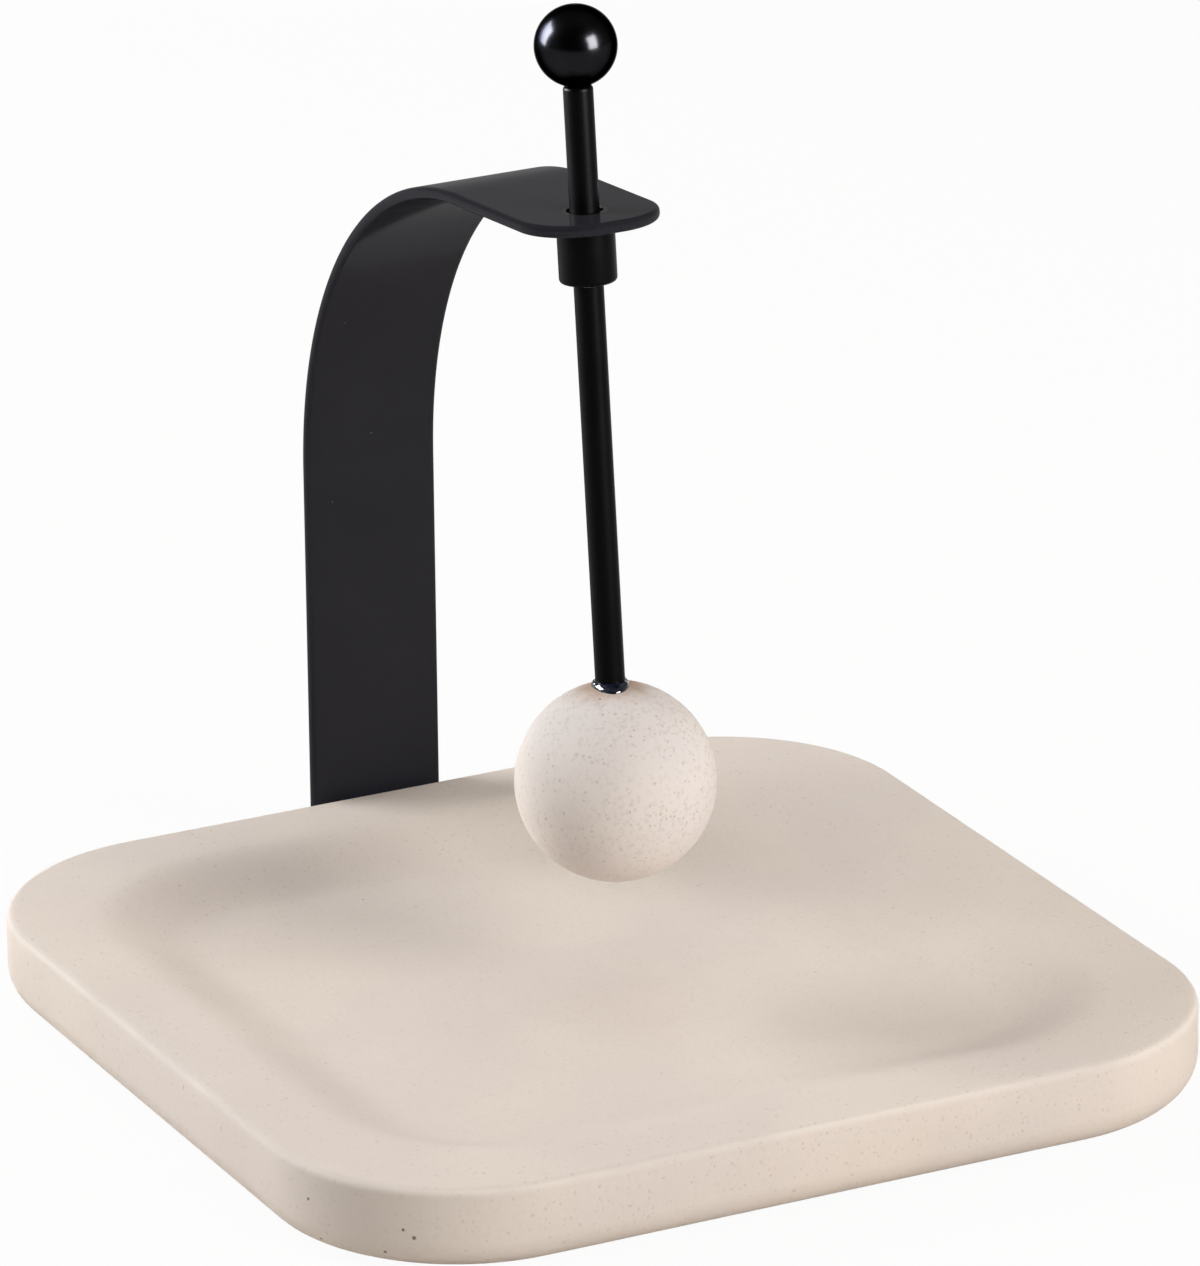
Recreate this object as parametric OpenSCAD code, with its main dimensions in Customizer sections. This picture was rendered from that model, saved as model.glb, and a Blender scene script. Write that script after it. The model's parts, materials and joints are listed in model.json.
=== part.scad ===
// Table holder: a dished tray, a bent strip that arches over it, and a ball weight on a sliding rod.
// The origin is on the table, under the middle of the outline. +X is right, +Y is rear, +Z is up.

/* [Tray] */
// Width of the tray, side to side
tray_w = 200; // [180:1:240]
// Depth of the tray, front to rear
tray_d = 200; // [180:1:240]
// Height of the tray from its underside to the top of its rim
tray_h = 18; // [16:0.5:24]
// Corner radius of the tray, seen from above
corner_r = 41; // [20:1:60]
// Radius of the tray's lower edge
lower_edge_r = 7; // [2:0.5:8]
// Radius of the tray's upper edge
upper_edge_r = 2; // [0.5:0.5:6]
// Width of the flat rim
rim_w = 14; // [8:0.5:20]
// Corner radius of the recess where it meets the rim
recess_corner_r = 38; // [26:1:55]
// Run of the soft slope from the rim down to the recess floor
slope_run = 22; // [10:1:24]
// Depth of the recess below the rim
recess_depth = 6; // [3:0.5:7]

/* [Foot pads] */
// Diameter of a foot pad
pad_d = 16; // [8:0.5:24]
// Thickness of a foot pad
pad_t = 1; // [0.5:0.1:3]
// Distance from a pad's centre to the two nearest sides of the tray
pad_inset = 30; // [26:1:50]

/* [Strip] */
// Width of the strip
strip_w = 29.5; // [24:0.5:40]
// Thickness of the strip
strip_t = 2.5; // [1.5:0.1:3]
// Gap between the tray's rear face and the upright
strip_gap = 1.5; // [0.5:0.1:3]
// Height above the tray's underside at which the upright starts to arch
strip_rise = 90.5; // [60:0.5:140]
// Outer radius of the arch
arch_r = 81.5; // [50:0.5:85]
// Angle by which the bend stops short of a right angle, so that flange and rod lean
lean = 5.4; // [0:0.2:8]
// Inner radius of the bend above the foot
foot_bend_r = 6; // [3:0.5:8]
// Length of the foot beyond its screws
foot_past = 12; // [8:0.5:20]
// Corner radius of the flange's free end
end_r = 12.5; // [3:0.5:14]
// Distance from the flange's free end to the rod's axis
end_to_rod = 13; // [12:0.5:25]
// Distance by which the rod passes the flange behind the tray's middle
rod_back = 1; // [-5:0.5:10]

/* [Foot screws] */
// Diameter of a screw's thread
screw_d = 4; // [3:0.5:5]
// Diameter of a screw's countersunk head
screw_head_d = 7.2; // [6:0.1:9]
// Length of a screw over its head
screw_len = 10; // [8:0.5:14]
// Distance from a screw's centre to the strip's edge
screw_edge = 6.5; // [5:0.1:8]
// Distance from the screws' centres to the tray's rear face
screw_in = 15; // [12:0.5:20]
// Length of each arm of the cross in a screw's head
cross_len = 3.4; // [2:0.1:5]
// Width of each arm of the cross
cross_w = 0.8; // [0.5:0.1:1.2]
// Depth of the cross
cross_depth = 1.2; // [0.6:0.1:2]
// Wall of a threaded insert
insert_wall = 1; // [0.6:0.1:2]
// Length of a threaded insert
insert_len = 8; // [5:0.5:11]

/* [Collar and liner] */
// Wall of the collar round its bore
collar_wall = 2.1; // [1.8:0.1:4]
// Length of the collar below the flange
collar_len = 12; // [8:0.1:18]
// Chamfer on the collar's lower edge
collar_chamfer = 0.7; // [0.2:0.1:1]
// Wall of the spigot that passes up through the flange
spigot_wall = 1.1; // [0.8:0.1:1.6]
// Wall of the liner
liner_wall = 0.5; // [0.4:0.1:1.5]
// Length by which the liner stands out below the collar
liner_out = 0.4; // [0.2:0.1:1]
// Height of the liner's snap rib above its wall
rib_h = 0.5; // [0.3:0.1:0.8]
// Thickness of the snap rib
rib_t = 1.2; // [0.8:0.1:2]

/* [Rod, knob and ball] */
// Diameter of the rod
rod_d = 6; // [5:0.5:8]
// Chamfer at the rod's upper end
rod_chamfer = 0.5; // [0.2:0.1:0.8]
// Distance between the centres of ball and knob
centre_span = 150; // [145:1:200]
// Distance from the flange's upper face down to the ball's centre as it stands
ball_low = 117; // [80:0.5:125]
// Diameter of the knob
knob_d = 16.5; // [12:0.5:24]
// Diameter of the stud that holds the knob
stud_d = 4; // [3:0.5:4]
// Length of the stud
stud_len = 7; // [4:0.5:8]
// Diameter of the ball weight
ball_d = 40.5; // [30:0.5:48]
// Depth of the ball's socket
socket_depth = 16; // [10:0.5:20]
// Gap between rod and socket, which the glue fills
glue_gap = 0.3; // [0.2:0.05:0.6]
// Width of the glue ring that stands out round the rod
glue_ring_w = 0.85; // [0.7:0.05:1.5]
// Height of the glue ring above the ball
glue_rise = 1; // [1:0.1:4]
// Depth to which the glue runs into the socket
glue_depth = 6; // [3:0.5:9]

/* [Fits] */
// Radial clearance of the rod in its liner and of the liner in the collar
run_fit = 0.1; // [0.05:0.01:0.1]
// Radial clearance of fixed pieces in their holes
seat_fit = 0.05; // [0.02:0.01:0.1]
// Clearance at each side of the strip's foot in its pocket
pocket_fit = 0.3; // [0.2:0.1:0.6]

/* [Hidden] */
$fn = 96;
// Length by which a cutting shape runs past the face that it opens
over = 1;
// Height by which the recess slope runs on above the rim
slope_over = 0.1;
// Number of straight steps in the recess slope, in the arch and in a rounded edge
slope_steps = 12;
arch_steps = 36;
edge_steps = 8;

// The strip stands behind the tray, so the tray sits forward by half of the gap and the strip
tray_y = -(strip_gap + strip_t) / 2;
rear_y = tray_y + tray_d / 2;
upright_y = rear_y + strip_gap;
under_z = pad_t;
rim_z = under_z + tray_h;
floor_z = rim_z - recess_depth;

// The centre of the arch, and the flange's place on the rod's axis
arch_y = upright_y + strip_t - arch_r;
arch_z = under_z + strip_rise;
rod_y = tray_y + rod_back;
flange_len = (arch_y + arch_r * sin(lean) - rod_y) / cos(lean);
flange_z = arch_z + arch_r * cos(lean) + flange_len * sin(lean);

// The foot's two screws, in X, and the pocket's ceiling that they draw it against
screw_x = strip_w / 2 - screw_edge;
screw_y = rear_y - screw_in;
foot_y = screw_y - foot_past;
seat_z = under_z + strip_t;
head_h = (screw_head_d - screw_d) / 2;
insert_d = screw_d + 2 * (seat_fit + insert_wall);
insert_hole_h = max(insert_len, screw_len - strip_t) + over;

// Diameters round the rod's axis, from the inside out
liner_bore_d = rod_d + 2 * run_fit;
liner_d = liner_bore_d + 2 * liner_wall;
collar_bore_d = liner_d + 2 * run_fit;
spigot_d = collar_bore_d + 2 * spigot_wall;
collar_d = collar_bore_d + 2 * collar_wall;
rib_d = liner_d + 2 * rib_h;
groove_d = rib_d + 2 * run_fit;
groove_t = rib_t + 2 * run_fit;
socket_d = rod_d + 2 * glue_gap;

// Heights along the rod's axis, from the flange's upper face
collar_top = -strip_t;
collar_end = collar_top - collar_len;
liner_end = collar_end - liner_out;
groove_mid = collar_top - collar_len / 2;
ball_at = -ball_low;
ball_top = ball_at + ball_d / 2;
knob_at = ball_at + centre_span;
knob_flat_r = rod_d / 2 - rod_chamfer;
knob_seat = knob_at - sqrt(pow(knob_d / 2, 2) - pow(knob_flat_r, 2));
socket_end = ball_top - socket_depth;

// The four foot pads, by name and by side
pad_names = ["pad_front_left", "pad_front_right", "pad_rear_left", "pad_rear_right"];
pad_sides = [[-1, -1], [1, -1], [-1, 1], [1, 1]];

// Points on an arc about a centre, from one angle to another
function arc(centre, r, from, to, steps = edge_steps) = [
    for (i = [0:steps])
        let (a = from + (to - from) * i / steps)
        centre + r * [cos(a), sin(a)]
];

// Places children on the rod's axis, with Z along it and zero at the flange's upper face
module on_axis() {
    translate([0, rod_y, flange_z]) rotate([-lean, 0, 0]) children();
}

// Places children at the two foot screws, on the underside of the foot
module at_screws() {
    for (side = [-1, 1])
        translate([side * screw_x, screw_y, under_z]) children();
}

// Lays a drawing of Y and Z across the strip, centred on X
module across(width) {
    rotate([90, 0, 90]) linear_extrude(width, center = true) children();
}

// A block with rounded corners. The child is its edge, drawn outwards from a corner's centre
module edged_block(w, d, r, low, high) {
    long_x = w - 2 * r;
    long_y = d - 2 * r;
    for (k = [0:3]) {
        side_len = k % 2 == 0 ? long_y : long_x;
        side_at = k % 2 == 0 ? long_x / 2 : long_y / 2;
        corner = [k == 0 || k == 3 ? 1 : -1, k < 2 ? 1 : -1];
        translate([corner[0] * long_x / 2, corner[1] * long_y / 2])
            rotate([0, 0, 90 * k]) rotate_extrude(angle = 90) children();
        rotate([0, 0, 90 * k]) translate([side_at, 0]) rotate([90, 0, 0])
            linear_extrude(side_len, center = true) children();
    }
    translate([-long_x / 2, -long_y / 2, low]) cube([long_x, long_y, high - low]);
}

// Edge of the tray: rounded below and above
module tray_edge() {
    polygon(concat(
        [[0, under_z]],
        arc([corner_r - lower_edge_r, under_z + lower_edge_r], lower_edge_r, -90, 0),
        arc([corner_r - upper_edge_r, rim_z - upper_edge_r], upper_edge_r, 0, 90),
        [[0, rim_z]]
    ));
}

// Edge of the recess: a soft slope from its floor up through the rim
module recess_edge() {
    slope_h = recess_depth + slope_over;
    polygon(concat(
        [[0, floor_z]],
        [for (i = [0:slope_steps])
            let (s = i / slope_steps)
            [recess_corner_r - slope_run * (1 - s), floor_z + slope_h * (1 - cos(180 * s)) / 2]],
        [[recess_corner_r, rim_z + over], [0, rim_z + over]]
    ));
}

// Space that the strip's foot and its bend take out of the tray
module foot_pocket() {
    bend = [upright_y - foot_bend_r, seat_z + foot_bend_r];
    end_y = foot_y - pocket_fit;
    across(strip_w + 2 * pocket_fit) polygon(concat(
        [[end_y, under_z - over], [upright_y + over, under_z - over], [upright_y + over, bend[1]]],
        arc(bend, foot_bend_r, 0, -90),
        [[end_y, seat_z]]
    ));
}

module tray() {
    color("#e0d4c5") difference() {
        translate([0, tray_y, 0])
            edged_block(tray_w, tray_d, corner_r, under_z, rim_z) tray_edge();
        translate([0, tray_y, 0])
            edged_block(tray_w - 2 * rim_w, tray_d - 2 * rim_w, recess_corner_r, floor_z, rim_z + over)
                recess_edge();
        foot_pocket();
        at_screws()
            cylinder(d = insert_d + 2 * seat_fit, h = strip_t + insert_hole_h);
    }
}

// Side view of the strip: foot, bend, upright, arch and leaning flange
module strip_side() {
    bend = [upright_y - foot_bend_r, seat_z + foot_bend_r];
    arch = [arch_y, arch_z];
    end_y = rod_y - end_to_rod * cos(lean);
    end_z = flange_z + end_to_rod * sin(lean);
    polygon(concat(
        [[foot_y, under_z]],
        arc(bend, foot_bend_r + strip_t, -90, 0),
        arc(arch, arch_r, 0, 90 - lean, arch_steps),
        [[end_y, end_z], [end_y - strip_t * sin(lean), end_z - strip_t * cos(lean)]],
        arc(arch, arch_r - strip_t, 90 - lean, 0, arch_steps),
        arc(bend, foot_bend_r, 0, -90),
        [[foot_y, seat_z]]
    ));
}

// What is cut away to round one corner of the flange's free end
module end_corner() {
    translate([strip_w / 2 - end_r, end_r - end_to_rod, -strip_t - over])
        linear_extrude(strip_t + 2 * over) difference() {
            translate([0, -end_r - over]) square(end_r + over);
            circle(end_r);
        }
}

module arch_strip() {
    color("#1b1b1d") difference() {
        across(strip_w) strip_side();
        on_axis() {
            end_corner();
            mirror([1, 0, 0]) end_corner();
            translate([0, 0, -strip_t - over])
                cylinder(d = spigot_d + 2 * seat_fit, h = strip_t + 2 * over);
        }
        at_screws() {
            translate([0, 0, -over])
                cylinder(d = screw_d + 2 * seat_fit, h = strip_t + 2 * over);
            screw_cone(seat_fit);
        }
    }
}

// Countersunk cone of a screw's head, with room round it
module screw_cone(room) {
    cylinder(d1 = screw_head_d + 2 * room, d2 = screw_d + 2 * room, h = head_h);
}

module foot_screws() {
    color("#9a9a9c") at_screws() difference() {
        union() {
            screw_cone(0);
            cylinder(d = screw_d, h = screw_len);
        }
        for (turn = [0, 90])
            rotate([0, 0, turn]) translate([-cross_len / 2, -cross_w / 2, -over])
                cube([cross_len, cross_w, cross_depth + over]);
    }
}

module thread_inserts() {
    color("#b08d4c") at_screws() translate([0, 0, strip_t]) difference() {
        cylinder(d = insert_d, h = insert_len);
        translate([0, 0, -over])
            cylinder(d = screw_d + 2 * seat_fit, h = insert_len + 2 * over);
    }
}

module foot_pad(side) {
    place = [side[0] * (tray_w / 2 - pad_inset), tray_y + side[1] * (tray_d / 2 - pad_inset)];
    color("#3a3a3a") translate(place) cylinder(d = pad_d, h = pad_t);
}

// Turns a closed outline of [diameter, height] points about the rod's axis
module turned(outline) {
    on_axis() rotate_extrude() polygon([for (p = outline) [p[0] / 2, p[1]]]);
}

module guide_collar() {
    color("#1b1b1d") turned([
        [collar_bore_d, collar_end],
        [collar_d - 2 * collar_chamfer, collar_end],
        [collar_d, collar_end + collar_chamfer],
        [collar_d, collar_top],
        [spigot_d, collar_top],
        [spigot_d, 0],
        [collar_bore_d, 0],
        [collar_bore_d, groove_mid + groove_t / 2],
        [groove_d, groove_mid + groove_t / 2],
        [groove_d, groove_mid - groove_t / 2],
        [collar_bore_d, groove_mid - groove_t / 2]
    ]);
}

module guide_liner() {
    color("#8d8d88") turned([
        [liner_bore_d, liner_end],
        [liner_d, liner_end],
        [liner_d, groove_mid - rib_t / 2],
        [rib_d, groove_mid - rib_t / 2],
        [rib_d, groove_mid + rib_t / 2],
        [liner_d, groove_mid + rib_t / 2],
        [liner_d, collar_top],
        [liner_bore_d, collar_top]
    ]);
}

module rod() {
    color("#1b1b1d") {
        turned([
            [0, socket_end],
            [rod_d, socket_end],
            [rod_d, knob_seat - rod_chamfer],
            [2 * knob_flat_r, knob_seat],
            [0, knob_seat]
        ]);
        on_axis() translate([0, 0, knob_seat - over])
            cylinder(d = stud_d, h = over + stud_len);
    }
}

module knob() {
    color("#141416") on_axis() difference() {
        translate([0, 0, knob_at]) sphere(d = knob_d);
        translate([-knob_d / 2, -knob_d / 2, knob_seat - knob_d])
            cube(knob_d);
        translate([0, 0, knob_seat - over])
            cylinder(d = stud_d + 2 * seat_fit, h = over + stud_len + seat_fit);
    }
}

module ball_weight() {
    color("#e0d4c5") on_axis() difference() {
        translate([0, 0, ball_at]) sphere(d = ball_d);
        translate([0, 0, socket_end]) cylinder(d = socket_d, h = socket_depth + over);
    }
}

// Ring of set glue: a round-shouldered bead on the ball, and a thin sleeve down the socket
module glue_ring() {
    ring_r = rod_d / 2 + glue_ring_w;
    round_r = glue_ring_w - 2 * seat_fit;
    bore_d = rod_d + 2 * seat_fit;
    color("#23262e") on_axis() difference() {
        union() {
            difference() {
                rotate_extrude() polygon(concat(
                    [[0, ball_top - glue_rise], [ring_r, ball_top - glue_rise]],
                    arc([ring_r - round_r, ball_top + glue_rise - round_r], round_r, 0, 90),
                    [[0, ball_top + glue_rise]]
                ));
                translate([0, 0, ball_at]) sphere(d = ball_d);
            }
            translate([0, 0, ball_top - glue_depth])
                cylinder(d = socket_d - 2 * seat_fit, h = glue_depth + glue_gap);
        }
        translate([0, 0, ball_top - glue_depth - over])
            cylinder(d = bore_d, h = glue_depth + glue_rise + 2 * over);
    }
}

tray();
arch_strip();
foot_screws();
thread_inserts();
for (i = [0:len(pad_names) - 1])
    foot_pad(pad_sides[i]);
guide_collar();
guide_liner();
rod();
knob();
ball_weight();
glue_ring();
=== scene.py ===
import json
import math

import bmesh
import bpy
from mathutils import Matrix, Vector, noise


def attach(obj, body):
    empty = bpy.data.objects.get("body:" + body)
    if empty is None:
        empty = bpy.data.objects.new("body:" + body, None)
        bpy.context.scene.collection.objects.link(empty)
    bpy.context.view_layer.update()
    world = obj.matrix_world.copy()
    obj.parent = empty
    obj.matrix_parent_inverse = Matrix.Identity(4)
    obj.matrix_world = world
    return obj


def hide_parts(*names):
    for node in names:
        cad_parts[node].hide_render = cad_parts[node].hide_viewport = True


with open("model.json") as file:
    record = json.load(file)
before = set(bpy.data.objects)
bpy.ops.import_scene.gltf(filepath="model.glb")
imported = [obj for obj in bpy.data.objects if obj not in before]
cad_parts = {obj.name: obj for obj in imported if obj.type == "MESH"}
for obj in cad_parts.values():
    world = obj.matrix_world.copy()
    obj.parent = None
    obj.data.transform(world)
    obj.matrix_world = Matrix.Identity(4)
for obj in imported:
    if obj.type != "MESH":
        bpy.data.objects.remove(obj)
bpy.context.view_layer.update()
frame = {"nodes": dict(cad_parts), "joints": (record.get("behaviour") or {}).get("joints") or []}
scene = bpy.context.scene
mm = 0.001
print("frame loaded, nodes:", len(frame["nodes"]))

# The rod's axis: side and back are square to it, along points up it
swivel = frame["joints"][0]
along = Vector(swivel["axis"]).normalized()
side = Vector((1, 0, 0))
axes = Matrix((side, along.cross(side), along)).transposed()
axisFrame = Matrix.Translation(swivel["pos_m"]) @ axes.to_4x4()
lean = math.atan2(along.y, along.z)


# Small helpers for meshes

def joinRings(bm, low, high):
    count = max(len(low), len(high))
    for i in range(count):
        k = (i + 1) % count
        corners = [low[i % len(low)], low[k % len(low)], high[k % len(high)], high[i % len(high)]]
        bm.faces.new(list(dict.fromkeys(corners)))


def roundOff(corners, steps=6, closed=False):
    # corners hold radius, height and the rounding of that corner, in mm
    points = []
    for i, (r, h, rounding) in enumerate(corners):
        here = Vector((r, h))
        if not rounding or (not closed and i in (0, len(corners) - 1)):
            points.append(here)
            continue
        toLast = (Vector(corners[i - 1][:2]) - here).normalized()
        toNext = (Vector(corners[(i + 1) % len(corners)][:2]) - here).normalized()
        half = toLast.angle(toNext) / 2
        middle = here + (toLast + toNext).normalized() * rounding / math.sin(half)
        start = here + toLast * rounding / math.tan(half) - middle
        sweep = math.pi - 2 * half
        if start.x * (toNext.y - toLast.y) - start.y * (toNext.x - toLast.x) < 0:
            sweep = -sweep
        for k in range(steps + 1):
            a = sweep * k / steps
            points.append(middle + Vector((
                start.x * math.cos(a) - start.y * math.sin(a),
                start.x * math.sin(a) + start.y * math.cos(a))))
    return points


def turnOutline(outline, segments=96, closed=False, uneven=None):
    # outline holds radius and height in mm, turned about the rod's axis
    bm = bmesh.new()
    rings = []
    for r, h in outline:
        ring = []
        for i in range(segments if r > 1e-6 else 1):
            a = 2 * math.pi * i / segments
            dr, dh = uneven(a, r, h) if uneven else (0, 0)
            place = Vector(((r + dr) * math.cos(a), (r + dr) * math.sin(a), h + dh))
            ring.append(bm.verts.new(axisFrame @ (place * mm)))
        rings.append(ring)
    for low, high in zip(rings, rings[1:] + rings[:1] if closed else rings[1:]):
        joinRings(bm, low, high)
    return bm


def newObject(name, bm):
    bmesh.ops.recalc_face_normals(bm, faces=bm.faces)
    mesh = bpy.data.meshes.new(name)
    bm.to_mesh(mesh)
    bm.free()
    obj = bpy.data.objects.new(name, mesh)
    scene.collection.objects.link(obj)
    return obj


def bake(obj):
    # The evaluated result becomes a plain mesh, and the modifiers go
    depsgraph = bpy.context.evaluated_depsgraph_get()
    mesh = bpy.data.meshes.new_from_object(obj.evaluated_get(depsgraph), depsgraph=depsgraph)
    obj.modifiers.clear()
    obj.data = mesh


def smooth(obj, angle=35):
    obj.data.polygons.foreach_set("use_smooth", [True] * len(obj.data.polygons))
    obj.data.set_sharp_from_angle(angle=math.radians(angle))


def settle(obj, material, body, slot, *nodes):
    # Gives a finished piece its material, its body and the nodes it stands for
    obj.data.materials.clear()
    obj.data.materials.append(material)
    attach(obj, body)
    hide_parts(*nodes)
    print("piece", obj.name, len(obj.data.polygons), "faces")


def cutOut(obj, cutter):
    cut = obj.modifiers.new("cut", "BOOLEAN")
    cut.operation = "DIFFERENCE"
    cut.solver = "EXACT"
    cut.object = cutter


# Small helpers for nodes

def put(tree, kind, values=None, **settings):
    # values may be numbers or sockets, which are linked
    made = tree.nodes.new(kind)
    for name, value in settings.items():
        setattr(made, name, value)
    for name, value in (values or {}).items():
        if isinstance(value, bpy.types.NodeSocket):
            tree.links.new(value, made.inputs[name])
        else:
            made.inputs[name].default_value = value
    return made


def math2(tree, operation, a, b=0.0, clamp=False):
    return put(tree, "ShaderNodeMath", {0: a, 1: b}, operation=operation, use_clamp=clamp).outputs[0]


def vector2(tree, operation, a, b, output="Vector"):
    return put(tree, "ShaderNodeVectorMath", {0: a, 1: b}, operation=operation).outputs[output]


def times(tree, vector, factor):
    scaled = put(tree, "ShaderNodeVectorMath", {0: vector, "Scale": factor}, operation="SCALE")
    return scaled.outputs["Vector"]


def noiseAt(tree, where, scale, detail=2.0, roughness=0.5):
    return put(tree, "ShaderNodeTexNoise", {
        "Vector": where, "Scale": scale, "Detail": detail, "Roughness": roughness}).outputs["Fac"]


def cellsAt(tree, where, scale):
    # The distance to the middle of the nearest cell, and three random values of that cell
    cells = put(tree, "ShaderNodeTexVoronoi", {"Vector": where, "Scale": scale}).outputs
    return cells["Distance"], put(tree, "ShaderNodeSeparateColor", {"Color": cells["Color"]}).outputs


def ramp(tree, value, low, high, toLow=0.0, toHigh=1.0, kind="SMOOTHSTEP"):
    return put(tree, "ShaderNodeMapRange", {
        "Value": value, "From Min": low, "From Max": high, "To Min": toLow, "To Max": toHigh,
    }, interpolation_type=kind).outputs[0]


def mixColour(tree, factor, a, b, blend="MIX"):
    # The colours go in at sockets 6 and 7 and come out at 2
    mixed = put(tree, "ShaderNodeMix", data_type="RGBA", blend_type=blend)
    for index, value in ((0, factor), (6, a), (7, b)):
        if isinstance(value, bpy.types.NodeSocket):
            tree.links.new(value, mixed.inputs[index])
        else:
            mixed.inputs[index].default_value = value
    return mixed.outputs[2]


def addBump(tree, bsdf, height, strength, distance):
    bump = put(tree, "ShaderNodeBump", {"Strength": strength, "Distance": distance, "Height": height})
    tree.links.new(bump.outputs["Normal"], bsdf.inputs["Normal"])


def srgb(r, g, b):
    # A colour as seen on screen, 0 to 255, turned into linear numbers
    parts = (c / 255 for c in (r, g, b))
    return tuple(((c + 0.055) / 1.055) ** 2.4 if c > 10 / 255 else c / 12.92 for c in parts) + (1,)


def newMaterial(name, **shader):
    material = bpy.data.materials.new(name)
    material.use_nodes = True
    tree = material.node_tree
    bsdf = tree.nodes["Principled BSDF"]
    for socket, value in shader.items():
        bsdf.inputs[socket.replace("_", " ")].default_value = value
    where = put(tree, "ShaderNodeTexCoord").outputs["Object"]
    return material, tree, bsdf, where


def newGroup(name, kind, inputs, outputs):
    group = bpy.data.node_groups.new(name, kind)
    for way, sockets in (("INPUT", inputs), ("OUTPUT", outputs)):
        for label, socketType, *start in sockets:
            socket = group.interface.new_socket(label, in_out=way, socket_type=socketType)
            if start:
                socket.default_value = start[0]
    given = group.nodes.new("NodeGroupInput").outputs
    return group, given, group.nodes.new("NodeGroupOutput").inputs


def feed(group, out, values):
    for label, value in values.items():
        group.links.new(value, out[label])


def setInputs(modifier, values):
    for item in modifier.node_group.interface.items_tree:
        if item.in_out == "INPUT" and item.name in values:
            modifier[item.identifier] = values[item.name]


# Shader groups

stoneSizes = {
    "warpScale": 900.0, "warpReach": 0.0007, "cloudScale": 34.0, "warmthScale": 17.0, "patchScale": 75.0,
    "speckSpan": (0.2, 0.52), "grainDepth": 0.6,
    "fleckSpan": (0.08, 0.2), "fleckScale": 0.3, "fleckShare": 0.5,
    "pinholeSpan": (0.035, 0.065), "pinholeScale": 140.0, "core": 0.2, "faintest": 0.35,
    "skinScale": 420.0, "skinHeight": 0.25, "dentDepth": 0.3,
}


def buildStoneGrain():
    # Specks, pinholes and soft clouds of the cast stone
    sizes = stoneSizes
    group, given, out = newGroup("stoneGrain", "ShaderNodeTree", [
        ("Vector", "NodeSocketVector"),
        ("Speck Scale", "NodeSocketFloat", 950.0),
        ("Speck Amount", "NodeSocketFloat", 0.5),
        ("Pinhole Amount", "NodeSocketFloat", 0.3),
    ], [
        ("Cloud", "NodeSocketFloat"),
        ("Warmth", "NodeSocketFloat"),
        ("Specks", "NodeSocketFloat"),
        ("Flecks", "NodeSocketFloat"),
        ("Pinholes", "NodeSocketFloat"),
        ("Height", "NodeSocketFloat"),
    ])
    where, speckScale = given["Vector"], given["Speck Scale"]
    warp = put(group, "ShaderNodeTexNoise", {"Vector": where, "Scale": sizes["warpScale"], "Detail": 2.0})
    shift = vector2(group, "SUBTRACT", warp.outputs["Color"], (0.5, 0.5, 0.5))
    bent = vector2(group, "ADD", where, times(group, shift, sizes["warpReach"]))
    cloud = noiseAt(group, where, sizes["cloudScale"], 3.0)
    warmth = noiseAt(group, where, sizes["warmthScale"], 2.0, 0.4)
    patches = noiseAt(group, where, sizes["patchScale"])

    def spots(scale, sizeSpan, amount):
        # One round spot in some cells, of a size and depth that vary from cell to cell
        distance, pick = cellsAt(group, bent, scale)
        radius = ramp(group, pick["Red"], 0.0, 1.0, *sizeSpan, "LINEAR")
        spot = ramp(group, distance, radius, math2(group, "MULTIPLY", radius, sizes["core"]))
        shown = math2(group, "LESS_THAN", pick["Green"], amount)
        depth = ramp(group, pick["Blue"], 0.0, 1.0, sizes["faintest"], 1.0, "LINEAR")
        return math2(group, "MULTIPLY", math2(group, "MULTIPLY", spot, shown), depth)

    amount = math2(group, "MULTIPLY", ramp(group, patches, 0.3, 0.65, 0.5, 1.0), given["Speck Amount"])
    # Faint ragged grain fills the space between the round specks
    ragged = noiseAt(group, bent, speckScale, 3.0)
    grain = math2(group, "MULTIPLY", ramp(group, ragged, 0.5, 0.72, 0.0, sizes["grainDepth"]), amount)
    fine = math2(group, "MAXIMUM", spots(speckScale, sizes["speckSpan"], amount), grain)
    fleckScale = math2(group, "MULTIPLY", speckScale, sizes["fleckScale"])
    flecks = spots(fleckScale, sizes["fleckSpan"], math2(group, "MULTIPLY", amount, sizes["fleckShare"]))
    pinholes = spots(sizes["pinholeScale"], sizes["pinholeSpan"], given["Pinhole Amount"])
    skin = math2(group, "MULTIPLY", noiseAt(group, where, sizes["skinScale"], 3.0), sizes["skinHeight"])
    dents = math2(group, "MULTIPLY", math2(group, "ADD", flecks, fine), sizes["dentDepth"])
    feed(group, out, {"Cloud": cloud, "Warmth": warmth, "Specks": fine, "Flecks": flecks,
                      "Pinholes": pinholes, "Height": math2(group, "SUBTRACT", skin, dents)})
    return group


coatSizes = {"handlingScale": 46.0, "dustScale": 330.0, "dustR": 0.075, "dustCore": 0.03}


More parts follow.
